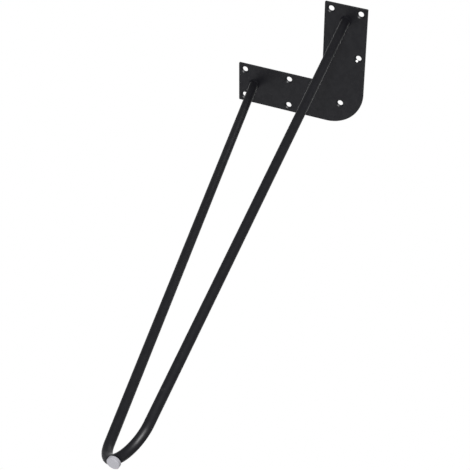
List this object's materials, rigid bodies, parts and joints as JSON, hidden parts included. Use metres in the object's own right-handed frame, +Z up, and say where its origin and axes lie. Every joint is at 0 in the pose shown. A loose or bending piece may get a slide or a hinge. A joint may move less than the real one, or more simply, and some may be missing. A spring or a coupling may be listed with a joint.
{
  "type": "hairpin table leg",
  "caption": "Hairpin table leg: a round steel bar bent into a narrow U and welded to an L-shaped screw-on corner plate, with a small round floor pad under the bend.",
  "frame": {"origin": "centre of the corner screw hole on the plate's top face, the face that lies against the table", "axes": "+Z up, towards the table; +X and +Y along the plate's two arms; the part mirrors itself across the plane X = Y"},
  "size_m": [0.2023, 0.2023, 0.704],
  "materials": {
    "black_powder_coat": "fine-grained satin black powder coat over steel",
    "pad_plastic": "smooth matte light grey"
  },
  "bodies": {
    "root": {"mounting_plate": "black_powder_coat", "hairpin_rod": "black_powder_coat", "weld_bead_x": "black_powder_coat", "weld_bead_y": "black_powder_coat", "floor_pad": "pad_plastic"}
  },
  "joints": []
}
